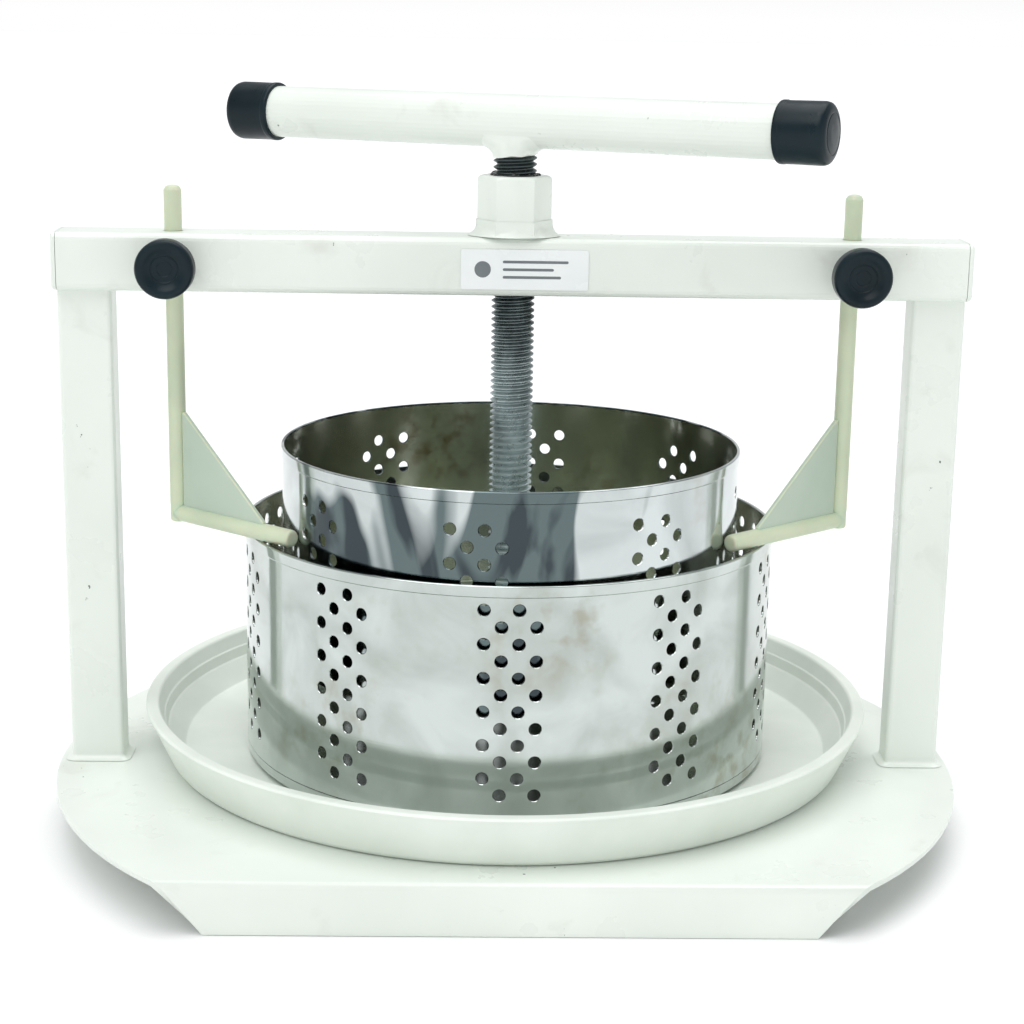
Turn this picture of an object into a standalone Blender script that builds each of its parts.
"""Bench cheese press: welded frame, screw with T handle, follower drum, basket, drip tray and two hooks.

Units are metres, +Z is up and the front of the press faces -Y. Lengths are first laid out about the plane of
the two posts. The whole assembly is moved back at the end, so that the origin is the bottom centre of its
bounding box.
"""

import math

import bmesh
import bpy

MM = 0.001

# base plate: a disc with the front and rear cut straight and bent down
BASE_RADIUS = 258.0 * MM
BASE_HALF_DEPTH = 187.0 * MM
BASE_TOP = 28.0 * MM
SHEET = 3.0 * MM
FLANGE_BOTTOM_HALF = 155.0 * MM

# posts and crossbeam
POST_X = 236.5 * MM
POST_WIDTH = 30.0 * MM
POST_DEPTH = 20.0 * MM
POST_WALL = 2.0 * MM
BEAM_BOTTOM = 301.0 * MM
BEAM_TOP = 333.0 * MM
BEAM_HALF_LENGTH = 253.0 * MM
BEAM_HALF_DEPTH = 17.0 * MM
BEAM_WALL = 2.5 * MM
BEAM_CORNER = 4.0 * MM
END_PLATE = 2.7 * MM
FIT = 0.3 * MM
BEAD = 4.0 * MM

# screw, nut and handle
SCREW_RADIUS = 12.0 * MM
SCREW_BOTTOM = 109.3 * MM
SCREW_TOP = 380.1 * MM
NUT_FLATS = 36.0 * MM
NUT_TOP = 366.0 * MM
NUT_BORE = 12.5 * MM
COLLAR_TOP = 342.0 * MM
HANDLE_Z = 395.2 * MM
HANDLE_RADIUS = 14.5 * MM
HANDLE_WALL = 1.5 * MM
HANDLE_HALF = 178.5 * MM
HANDLE_YAW = math.radians(-27.7)
CAP_START = 152.5 * MM
CAP_END = 181.5 * MM
CAP_RADIUS = 16.5 * MM

# follower drum
DRUM_RADIUS = 129.4 * MM
DRUM_TOP = 216.3 * MM
DRUM_BOTTOM = 96.3 * MM
DRUM_WALL = 1.2 * MM
PLATE_THICKNESS = 4.0 * MM
SOCKET_RADIUS = 24.0 * MM
FOOT_RADIUS = 15.0 * MM

# basket and tray stand a little behind the screw
BASKET_Y = 18.3 * MM
BASKET_RADIUS = 152.5 * MM
BASKET_TOP = 168.3 * MM
BASKET_SEAM = 41.0 * MM
BASKET_FLOOR = 32.8 * MM
TRAY_Y = 34.0 * MM
TRAY_RADIUS = 212.5 * MM
TRAY_RIM = 7.9 * MM
TRAY_FOOT = 199.7 * MM
TRAY_TOP = 59.4 * MM
TRAY_FLOOR = 32.5 * MM

# hooks and clamps
HOOK_X = 188.0 * MM
HOOK_RADIUS = 4.9 * MM
HOOK_TOP = 358.0 * MM
PIN_RADIUS = 4.8 * MM
PIN_Z = 173.5 * MM
PIN_REACH = 92.0 * MM
HOOK_TURN = math.radians(41.0)
GUSSET_TOP = 232.0 * MM
GUSSET_REACH = 70.0 * MM
GUSSET_THICKNESS = 2.6 * MM
KNOB_Z = 316.0 * MM
KNOB_RADIUS = 16.0 * MM
KNOB_BACK = 26.0 * MM
KNOB_FRONT = 42.0 * MM
STUD_RADIUS = 4.0 * MM
PAD_RADIUS = 3.5 * MM

LABEL_WIDTH = 70.0 * MM
LABEL_X = 5.7 * MM

# the posts' plane stands this far in front of the middle of the bounding box
CENTRE_SHIFT_Y = -29.75 * MM


def clear_scene():
    for obj in list(bpy.data.objects):
        bpy.data.objects.remove(obj, do_unlink=True)


def material(name, colour, roughness, metallic):
    mat = bpy.data.materials.get(name)
    if mat is None:
        mat = bpy.data.materials.new(name)
        mat.use_nodes = True
        shader = mat.node_tree.nodes["Principled BSDF"]
        shader.inputs["Base Color"].default_value = (*colour, 1.0)
        shader.inputs["Roughness"].default_value = roughness
        shader.inputs["Metallic"].default_value = metallic
        mat.diffuse_color = (*colour, 1.0)
    return mat


def paint(name):
    return material(name, (0.80, 0.84, 0.80), 0.35, 0.0)


def steel(name):
    return material(name, (0.62, 0.65, 0.65), 0.2, 1.0)


def dark_plastic(name):
    return material(name, (0.012, 0.018, 0.022), 0.4, 0.0)


def hook_plastic(name):
    return material(name, (0.62, 0.68, 0.52), 0.45, 0.0)


def finish_mesh(name, mesh_data, mat, origin, angle=35.0):
    """Turn a bmesh in world coordinates into an object whose origin is the given point."""
    bmesh.ops.recalc_face_normals(mesh_data, faces=mesh_data.faces)
    for vert in mesh_data.verts:
        vert.co.x -= origin[0]
        vert.co.y -= origin[1]
        vert.co.z -= origin[2]
    mesh = bpy.data.meshes.new(name)
    mesh_data.to_mesh(mesh)
    mesh_data.free()
    for face in mesh.polygons:
        face.use_smooth = True
    mesh.set_sharp_from_angle(angle=math.radians(angle))
    mesh.materials.append(mat)
    obj = bpy.data.objects.new(name, mesh)
    obj.location = origin
    bpy.context.collection.objects.link(obj)
    return obj


def place(axis, centre, radius, along, angle):
    """World point at a radius and angle about an axis through the centre, at a distance along that axis."""
    c = radius * math.cos(angle)
    s = radius * math.sin(angle)
    if axis == "Z":
        return (centre[0] + c, centre[1] + s, centre[2] + along)
    if axis == "Y":
        return (centre[0] + c, centre[1] + along, centre[2] + s)
    ax = math.cos(axis)
    ay = math.sin(axis)
    return (centre[0] + along * ax - c * ay, centre[1] + along * ay + c * ax, centre[2] + s)


def join_loops(bm, loops, closed):
    count = len(loops[0])
    pairs = list(zip(loops, loops[1:]))
    if closed:
        pairs.append((loops[-1], loops[0]))
    for low, high in pairs:
        for i in range(count):
            j = (i + 1) % count
            bm.faces.new((low[i], low[j], high[j], high[i]))


def turned(name, profile, mat, centre=(0.0, 0.0, 0.0), axis="Z", segments=48, ring=False, angle=35.0):
    """Body of revolution: a ring profile is a closed section off the axis, else both ends are capped."""
    bm = bmesh.new()
    loops = []
    for radius, along in profile:
        loops.append([bm.verts.new(place(axis, centre, radius, along, 2.0 * math.pi * i / segments))
                      for i in range(segments)])
    join_loops(bm, loops, ring)
    if not ring:
        bm.faces.new(loops[0])
        bm.faces.new(loops[-1])
    return finish_mesh(name, bm, mat, centre, angle)


def rounded_outline(half_w, half_h, radius, steps=4):
    points = []
    for k, (sx, sy) in enumerate(((1, -1), (1, 1), (-1, 1), (-1, -1))):
        cx = sx * (half_w - radius)
        cy = sy * (half_h - radius)
        start = -math.pi / 2.0 + k * math.pi / 2.0
        for i in range(steps + 1):
            a = start + i * math.pi / (2.0 * steps)
            points.append((cx + radius * math.cos(a), cy + radius * math.sin(a)))
    return points


def stacked(name, sections, mat, origin, ring, to_point, angle=35.0):
    """Skin outlines given as (points, along); to_point turns (u, v, along) into world coordinates."""
    bm = bmesh.new()
    loops = [[bm.verts.new(to_point(u, v, along)) for u, v in points] for points, along in sections]
    join_loops(bm, loops, ring)
    if not ring:
        bm.faces.new(loops[0])
        bm.faces.new(loops[-1])
    return finish_mesh(name, bm, mat, origin, angle)


def cutter(name, radius, centre, axis, start, end, segments=32):
    obj = turned(name, [(radius, start), (radius, end)], paint("cutter_grey"), centre, axis, segments)
    obj.hide_render = True
    obj.display_type = "WIRE"
    return obj


def cut(obj, tool):
    mod = obj.modifiers.new("cut_" + tool.name, "BOOLEAN")
    mod.operation = "DIFFERENCE"
    mod.solver = "EXACT"
    mod.object = tool


def build_base_plate():
    """Disc cut straight at front and rear; each straight edge is bent down and its ends are cut slanting."""
    inner_depth = BASE_HALF_DEPTH - SHEET
    under = BASE_TOP - SHEET
    top_angle = math.asin(BASE_HALF_DEPTH / BASE_RADIUS)
    low_angle = math.asin(inner_depth / BASE_RADIUS)
    steps = 28
    bm = bmesh.new()

    def arc(limit, z, side):
        verts = []
        for i in range(steps + 1):
            a = -limit + 2.0 * limit * i / steps
            rim = (side * BASE_RADIUS * math.cos(a), side * BASE_RADIUS * math.sin(a), z)
            verts.append(bm.verts.new(rim))
        return verts

    top = [arc(top_angle, BASE_TOP, 1), arc(top_angle, BASE_TOP, -1)]
    low = [arc(low_angle, under, 1), arc(low_angle, under, -1)]
    bm.faces.new(top[0] + top[1])
    bm.faces.new(low[0] + low[1])
    for upper, lower in zip(top, low):
        for i in range(steps):
            bm.faces.new((upper[i], upper[i + 1], lower[i + 1], lower[i]))
    for side in (0, 1):
        sign = -1.0 if side == 0 else 1.0
        near_top = top[side][0]
        far_top = top[1 - side][-1]
        near_low = low[side][0]
        far_low = low[1 - side][-1]
        x = -sign * FLANGE_BOTTOM_HALF
        outer = [bm.verts.new((x, sign * BASE_HALF_DEPTH, 0.0)),
                 bm.verts.new((-x, sign * BASE_HALF_DEPTH, 0.0))]
        inner = [bm.verts.new((x, sign * inner_depth, 0.0)), bm.verts.new((-x, sign * inner_depth, 0.0))]
        bm.faces.new((near_top, far_top, outer[1], outer[0]))
        bm.faces.new((near_low, far_low, inner[1], inner[0]))
        bm.faces.new((outer[0], outer[1], inner[1], inner[0]))
        ends = ((near_top, near_low, outer[0], inner[0]), (far_top, far_low, outer[1], inner[1]))
        for t, l, o, n in ends:
            bm.faces.new((t, l, n))
            bm.faces.new((t, n, o))
    finish_mesh("base_plate", bm, paint("base_paint"), (0.0, 0.0, BASE_TOP))


def build_post(name, x, mat):
    outer = rounded_outline(POST_WIDTH / 2.0, POST_DEPTH / 2.0, 2.5 * MM, 3)
    inner = rounded_outline(POST_WIDTH / 2.0 - POST_WALL, POST_DEPTH / 2.0 - POST_WALL, 1.0 * MM, 3)
    low = BASE_TOP + FIT
    high = BEAM_BOTTOM - FIT
    stacked(name, [(outer, low), (outer, high), (inner, high), (inner, low)], mat, (x, 0.0, low), True,
            lambda u, v, along: (x + u, v, along))


def build_post_bead(name, x, mat):
    near = rounded_outline(POST_WIDTH / 2.0 + FIT, POST_DEPTH / 2.0 + FIT, 2.8 * MM, 3)
    wide = rounded_outline(POST_WIDTH / 2.0 + BEAD, POST_DEPTH / 2.0 + BEAD, 6.0 * MM, 3)
    low = BASE_TOP + FIT
    stacked(name, [(near, low), (wide, low), (wide, low + 0.8 * MM), (near, low + BEAD)], mat,
            (x, 0.0, low), True,
            lambda u, v, along: (x + u, v, along))


def beam_point(u, v, along):
    return (along, u, (BEAM_BOTTOM + BEAM_TOP) / 2.0 + v)


def build_crossbeam():
    half_height = (BEAM_TOP - BEAM_BOTTOM) / 2.0
    outer = rounded_outline(BEAM_HALF_DEPTH, half_height, BEAM_CORNER)
    inner = rounded_outline(BEAM_HALF_DEPTH - BEAM_WALL, half_height - BEAM_WALL, 2.0 * MM)
    end = BEAM_HALF_LENGTH - END_PLATE - FIT
    middle = (0.0, 0.0, (BEAM_BOTTOM + BEAM_TOP) / 2.0)
    beam = stacked("crossbeam", [(outer, -end), (outer, end), (inner, end), (inner, -end)],
                   paint("beam_paint"),
                   middle, True, beam_point)
    cut(beam,
        cutter("cut_screw_hole", 13.0 * MM, (0.0, 0.0, 0.0), "Z", BEAM_BOTTOM - 0.01, BEAM_TOP + 0.01, 36))
    for side, x in (("left", -HOOK_X), ("right", HOOK_X)):
        cut(beam, cutter("cut_" + side + "_rod_hole", 5.5 * MM, (x, 0.0, 0.0), "Z",
                         BEAM_BOTTOM - 0.01, BEAM_TOP + 0.01, 24))
        cut(beam, cutter("cut_" + side + "_stud_hole", 4.5 * MM, (x, 0.0, KNOB_Z), "Y", -0.025, -0.009, 24))


def build_end_plate(name, side):
    half_height = (BEAM_TOP - BEAM_BOTTOM) / 2.0
    full = rounded_outline(BEAM_HALF_DEPTH, half_height, BEAM_CORNER)
    small = rounded_outline(BEAM_HALF_DEPTH - 1.2 * MM, half_height - 1.2 * MM, BEAM_CORNER - 1.2 * MM)
    inside = side * (BEAM_HALF_LENGTH - END_PLATE)
    outside = side * BEAM_HALF_LENGTH
    shoulder = side * (BEAM_HALF_LENGTH - 1.2 * MM)
    stacked(name, [(full, inside), (full, shoulder), (small, outside)], paint(name + "_paint"),
            (inside, 0.0, (BEAM_BOTTOM + BEAM_TOP) / 2.0), False, beam_point)


def hex_radius(flats, angle):
    sector = math.pi / 3.0
    return flats / 2.0 / math.cos((angle % sector) - sector / 2.0)


def hex_loop(bm, axis, centre, flats, along, limit=1.0, extra=0.0):
    verts = []
    for i in range(24):
        a = 2.0 * math.pi * i / 24
        radius = min(hex_radius(flats, a), limit) + extra
        verts.append(bm.verts.new(place(axis, centre, radius, along, a)))
    return verts


def round_loop(bm, axis, centre, radius_x, radius_y, along):
    verts = []
    for i in range(24):
        a = 2.0 * math.pi * i / 24
        reach = radius_x * radius_y / math.hypot(radius_y * math.cos(a), radius_x * math.sin(a))
        verts.append(bm.verts.new(place(axis, centre, reach, along, a)))
    return verts


def build_hex_nut(name, axis, centre, flats, bore, start, end, mat):
    """Hex nut with its corners turned off at both faces."""
    bm = bmesh.new()
    step = 1.6 * MM if end > start else -1.6 * MM
    turned_off = flats * 0.52
    loops = [
        hex_loop(bm, axis, centre, flats, start, turned_off),
        hex_loop(bm, axis, centre, flats, start + step),
        hex_loop(bm, axis, centre, flats, end - step),
        hex_loop(bm, axis, centre, flats, end, turned_off),
        round_loop(bm, axis, centre, bore, bore, end),
        round_loop(bm, axis, centre, bore, bore, start),
    ]
    join_loops(bm, loops, True)
    origin = place(axis, centre, 0.0, start, 0.0)
    finish_mesh(name, bm, mat, origin, 25.0)


def build_nut_collar():
    """Weld metal flared from the flats of the nut down on to the crossbeam."""
    bm = bmesh.new()
    centre = (0.0, 0.0, 0.0)
    low = BEAM_TOP + FIT
    loops = [
        hex_loop(bm, "Z", centre, NUT_FLATS, low, 1.0, FIT),
        round_loop(bm, "Z", centre, 26.0 * MM, 20.5 * MM, low),
        round_loop(bm, "Z", centre, 24.6 * MM, 20.2 * MM, low + 2.5 * MM),
        hex_loop(bm, "Z", centre, NUT_FLATS, COLLAR_TOP - 1.5 * MM, 1.0, 1.3 * MM),
        hex_loop(bm, "Z", centre, NUT_FLATS, COLLAR_TOP, 1.0, FIT),
    ]
    join_loops(bm, loops, True)
    finish_mesh("nut_weld_collar", bm, paint("collar_paint"), (0.0, 0.0, low), 25.0)


def build_label():
    points = rounded_outline(LABEL_WIDTH / 2.0, 11.0 * MM, 1.0 * MM, 2)
    face = -(BEAM_HALF_DEPTH + FIT)
    stacked("front_label", [(points, face), (points, face - 0.4 * MM)],
            material("label_white", (0.85, 0.88, 0.86), 0.3, 0.0), (LABEL_X, face, KNOB_Z), False,
            lambda u, v, along: (LABEL_X + u, along, KNOB_Z + v))


def build_tray():
    low = BASE_TOP + FIT
    inner_foot = TRAY_FOOT - 10.0 * MM
    profile = [
        (2.0 * MM, low), (TRAY_FOOT - 3.0 * MM, low), (TRAY_FOOT, low + 2.5 * MM),
        (TRAY_RADIUS - 0.8 * MM, TRAY_TOP - 2.4 * MM), (TRAY_RADIUS, TRAY_TOP - 1.2 * MM),
        (TRAY_RADIUS - 1.2 * MM, TRAY_TOP), (TRAY_RADIUS - TRAY_RIM + 1.0 * MM, TRAY_TOP),
        (TRAY_RADIUS - TRAY_RIM, TRAY_TOP - 1.0 * MM), (TRAY_RADIUS - 12.0 * MM, 45.5 * MM),
        (TRAY_RADIUS - 13.4 * MM, 44.5 * MM), (inner_foot + 3.0 * MM, TRAY_FLOOR + 3.5 * MM),
        (inner_foot, TRAY_FLOOR), (2.0 * MM, TRAY_FLOOR),
    ]
    turned("drip_tray", profile, material("tray_plastic", (0.80, 0.85, 0.79), 0.35, 0.0),
           (0.0, TRAY_Y, 0.0),
           segments=64, angle=30.0)


def build_basket():
    wall = BASKET_RADIUS - 0.8 * MM
    inside = wall - 1.2 * MM
    low = BASKET_SEAM + FIT
    shell = [
        (wall, low), (wall, BASKET_TOP - 6.4 * MM), (BASKET_RADIUS, BASKET_TOP - 5.6 * MM),
        (BASKET_RADIUS, BASKET_TOP - 0.6 * MM), (BASKET_RADIUS - 0.7 * MM, BASKET_TOP),
        (inside, BASKET_TOP), (inside, low),
    ]
    centre = (0.0, BASKET_Y, 0.0)
    turned("basket_shell", shell, steel("basket_steel"), centre, segments=64, ring=True, angle=25.0)
    pan = [
        (2.0 * MM, BASKET_FLOOR), (wall - 3.0 * MM, BASKET_FLOOR), (wall, BASKET_FLOOR + 3.0 * MM),
        (wall, BASKET_SEAM), (inside, BASKET_SEAM), (inside, BASKET_FLOOR + 4.0 * MM),
        (inside - 2.5 * MM, BASKET_FLOOR + 1.5 * MM), (2.0 * MM, BASKET_FLOOR + 1.5 * MM),
    ]
    turned("basket_bottom_pan", pan, steel("pan_steel"), centre, segments=64, angle=25.0)


def build_follower():
    wall = DRUM_RADIUS - 0.6 * MM
    inside = wall - DRUM_WALL
    shell = [
        (wall, DRUM_BOTTOM), (wall, DRUM_TOP - 6.4 * MM), (DRUM_RADIUS, DRUM_TOP - 5.8 * MM),
        (DRUM_RADIUS, DRUM_TOP - 0.6 * MM), (DRUM_RADIUS - 0.7 * MM, DRUM_TOP),
        (inside, DRUM_TOP), (inside, DRUM_BOTTOM),
    ]
    turned("follower_shell", shell, steel("drum_steel"), segments=64, ring=True, angle=25.0)
    plate_radius = inside - FIT
    plate_top = DRUM_BOTTOM + PLATE_THICKNESS
    plate = [
        (2.0 * MM, DRUM_BOTTOM), (plate_radius - 1.0 * MM, DRUM_BOTTOM),
        (plate_radius, DRUM_BOTTOM + 1.0 * MM),
        (plate_radius, plate_top), (2.0 * MM, plate_top),
    ]
    turned("follower_plate", plate, steel("plate_steel"), segments=64, angle=25.0)
    base = plate_top + FIT
    socket = [
        (SOCKET_RADIUS, base), (SOCKET_RADIUS, base + 13.4 * MM),
        (FOOT_RADIUS + 0.4 * MM, base + 13.4 * MM), (FOOT_RADIUS + 0.4 * MM, base),
    ]
    turned("follower_socket", socket, steel("socket_steel"), segments=32, ring=True)
    over = base + 13.4 * MM + FIT
    ring = [
        (SOCKET_RADIUS, over), (SOCKET_RADIUS, over + 2.4 * MM),
        (SOCKET_RADIUS - 0.8 * MM, over + 3.2 * MM),
        (SCREW_RADIUS + 0.5 * MM, over + 3.2 * MM), (SCREW_RADIUS + 0.5 * MM, over),
    ]
    turned("socket_retaining_ring", ring, steel("ring_steel"), segments=32, ring=True)


def build_screw():
    foot_low = DRUM_BOTTOM + PLATE_THICKNESS + 2.0 * FIT
    foot = [
        (1.0 * MM, foot_low), (FOOT_RADIUS - 1.5 * MM, foot_low), (FOOT_RADIUS, foot_low + 1.5 * MM),
        (FOOT_RADIUS, SCREW_BOTTOM - 1.5 * MM), (FOOT_RADIUS - 1.0 * MM, SCREW_BOTTOM - FIT),
        (1.0 * MM, SCREW_BOTTOM - FIT),
    ]
    turned("screw_foot", foot, steel("foot_steel"), segments=32)
    screw = [
        (1.0 * MM, SCREW_BOTTOM), (SCREW_RADIUS - 1.0 * MM, SCREW_BOTTOM),
        (SCREW_RADIUS, SCREW_BOTTOM + 1.0 * MM),
        (SCREW_RADIUS, SCREW_TOP), (1.0 * MM, SCREW_TOP),
    ]
    turned("press_screw", screw, material("screw_zinc", (0.36, 0.42, 0.43), 0.35, 1.0), segments=36)


def build_handle():
    centre = (0.0, 0.0, HANDLE_Z)
    bore = HANDLE_RADIUS - HANDLE_WALL
    tube = [(HANDLE_RADIUS, -HANDLE_HALF), (HANDLE_RADIUS, HANDLE_HALF), (bore, HANDLE_HALF),
            (bore, -HANDLE_HALF)]
    turned("handle_tube", tube, paint("handle_paint"), centre, HANDLE_YAW, 36, True)
    for name, sign in (("handle_cap_left", -1.0), ("handle_cap_right", 1.0)):
        pocket = HANDLE_RADIUS + FIT
        cap = [
            (1.0 * MM, CAP_END), (CAP_RADIUS - 5.0 * MM, CAP_END - 0.8 * MM),
            (CAP_RADIUS - 1.0 * MM, CAP_END - 2.6 * MM),
            (CAP_RADIUS, CAP_END - 4.2 * MM), (CAP_RADIUS, CAP_START + 0.7 * MM),
            (CAP_RADIUS - 0.7 * MM, CAP_START),
            (pocket, CAP_START), (pocket, HANDLE_HALF + FIT), (1.0 * MM, HANDLE_HALF + FIT),
        ]
        cap = [(radius, sign * along) for radius, along in cap]
        turned(name, cap, dark_plastic(name + "_plastic"), centre, HANDLE_YAW, 28)
    low = 375.0 * MM
    weld = [
        (SCREW_RADIUS + FIT, low), (13.6 * MM, low), (15.0 * MM, low + 3.6 * MM),
        (19.0 * MM, low + 8.0 * MM),
        (19.6 * MM, low + 10.0 * MM), (SCREW_RADIUS + FIT, low + 10.0 * MM),
    ]
    bead = turned("handle_weld", weld, paint("handle_weld_paint"), segments=36, ring=True)
    cut(bead, cutter("cut_handle_saddle", HANDLE_RADIUS + FIT, centre, HANDLE_YAW, -0.05, 0.05, 36))


def build_hook(side, sign):
    """Round rod through the crossbeam; below it the pin and gusset turn about the rod's axis."""
    x = sign * HOOK_X
    heading = -math.pi / 2.0 + sign * (HOOK_TURN - math.pi / 2.0)
    rod_low = PIN_Z + PIN_RADIUS + FIT
    rod = [
        (1.0 * MM, rod_low), (HOOK_RADIUS - 0.5 * MM, rod_low), (HOOK_RADIUS, rod_low + 0.5 * MM),
        (HOOK_RADIUS, HOOK_TOP - 2.5 * MM), (HOOK_RADIUS - 0.9 * MM, HOOK_TOP - 0.8 * MM),
        (HOOK_RADIUS - 2.6 * MM, HOOK_TOP), (1.0 * MM, HOOK_TOP),
    ]
    turned(side + "_hook_rod", rod, hook_plastic(side + "_rod_plastic"), (x, 0.0, 0.0), segments=20)
    r = PIN_RADIUS
    pin = [
        (0.15 * r, -r), (0.5 * r, -0.87 * r), (0.83 * r, -0.56 * r), (r, 0.0),
        (r, PIN_REACH - 2.5 * MM), (0.85 * r, PIN_REACH - 0.9 * MM), (0.5 * r, PIN_REACH),
        (0.15 * r, PIN_REACH),
    ]
    turned(side + "_hook_pin", pin, hook_plastic(side + "_pin_plastic"), (x, 0.0, PIN_Z), heading, 20)
    dx = math.cos(heading)
    dy = math.sin(heading)
    half = GUSSET_THICKNESS / 2.0
    near = HOOK_RADIUS + FIT + 0.2 * MM
    corners = [(near, rod_low), (GUSSET_REACH, rod_low), (near + 1.5 * MM, GUSSET_TOP), (near, GUSSET_TOP)]
    stacked(side + "_hook_gusset", [(corners, -half), (corners, half)],
            hook_plastic(side + "_gusset_plastic"),
            (x, 0.0, PIN_Z), False,
            lambda u, v, along: (x + u * dx - along * dy, u * dy + along * dx, v))


def build_clamp(side, sign):
    """Knob and stud pressing a pad against the rod, through a nut welded on the crossbeam."""
    x = sign * HOOK_X
    centre = (x, 0.0, KNOB_Z)
    nut_start = -(BEAM_HALF_DEPTH + FIT)
    build_hex_nut(side + "_clamp_nut", "Y", centre, 13.0 * MM, STUD_RADIUS + FIT, nut_start,
                  nut_start - 6.5 * MM, paint(side + "_clamp_nut_paint"))
    bore = STUD_RADIUS + FIT
    knob = [
        (bore, -KNOB_BACK), (7.5 * MM, -KNOB_BACK), (8.5 * MM, -KNOB_BACK - 2.0 * MM),
        (KNOB_RADIUS - 1.6 * MM, -KNOB_BACK - 3.0 * MM), (KNOB_RADIUS, -KNOB_BACK - 4.8 * MM),
        (KNOB_RADIUS, -KNOB_FRONT + 2.4 * MM), (KNOB_RADIUS - 0.8 * MM, -KNOB_FRONT + 0.7 * MM),
        (KNOB_RADIUS - 2.6 * MM, -KNOB_FRONT), (KNOB_RADIUS - 4.6 * MM, -KNOB_FRONT + 0.6 * MM),
        (KNOB_RADIUS - 7.0 * MM, -KNOB_FRONT + 2.4 * MM), (1.0 * MM, -KNOB_FRONT + 3.2 * MM),
        (1.0 * MM, -KNOB_FRONT + 6.0 * MM), (bore, -KNOB_FRONT + 6.0 * MM),
    ]
    build_blind_turned(side + "_knob", knob, dark_plastic(side + "_knob_plastic"), centre)
    stud = [
        (1.0 * MM, -KNOB_FRONT + 6.3 * MM), (STUD_RADIUS, -KNOB_FRONT + 6.3 * MM),
        (STUD_RADIUS, -9.5 * MM), (STUD_RADIUS - 0.5 * MM, -9.0 * MM), (1.0 * MM, -9.0 * MM),
    ]
    turned(side + "_clamp_stud", stud, steel(side + "_stud_steel"), centre, "Y", 24)
    pad = [
        (1.0 * MM, -9.0 * MM + FIT), (PAD_RADIUS, -9.0 * MM + FIT), (PAD_RADIUS, -HOOK_RADIUS - 0.8 * MM),
        (PAD_RADIUS - 0.5 * MM, -HOOK_RADIUS - FIT), (1.0 * MM, -HOOK_RADIUS - FIT),
    ]
    turned(side + "_clamp_pad", pad, material(side + "_pad_brass", (0.55, 0.42, 0.18), 0.4, 1.0), centre,
           "Y", 20)


def build_blind_turned(name, profile, mat, centre):
    """Turned knob with a blind bore: the section closes on itself, bore floor and face get discs."""
    bm = bmesh.new()
    segments = 28
    loops = []
    for radius, along in profile:
        loops.append([bm.verts.new(place("Y", centre, radius, along, 2.0 * math.pi * i / segments))
                      for i in range(segments)])
    join_loops(bm, loops[:-2], False)
    join_loops(bm, [loops[-2], loops[-1], loops[0]], False)
    bm.faces.new(loops[-3])
    bm.faces.new(loops[-2])
    finish_mesh(name, bm, mat, centre, 30.0)


def centre_assembly():
    for obj in bpy.data.objects:
        obj.location.y += CENTRE_SHIFT_Y


def main():
    clear_scene()
    build_base_plate()
    build_post("left_post", -POST_X, paint("left_post_paint"))
    build_post("right_post", POST_X, paint("right_post_paint"))
    build_post_bead("left_post_weld", -POST_X, paint("left_weld_paint"))
    build_post_bead("right_post_weld", POST_X, paint("right_weld_paint"))
    build_crossbeam()
    build_end_plate("left_beam_plate", -1.0)
    build_end_plate("right_beam_plate", 1.0)
    build_hex_nut("screw_nut", "Z", (0.0, 0.0, 0.0), NUT_FLATS, NUT_BORE, BEAM_TOP + FIT, NUT_TOP,
                  paint("nut_paint"))
    build_nut_collar()
    build_label()
    build_tray()
    build_basket()
    build_follower()
    build_screw()
    build_handle()
    build_hook("left", -1.0)
    build_hook("right", 1.0)
    build_clamp("left", -1.0)
    build_clamp("right", 1.0)
    centre_assembly()


main()
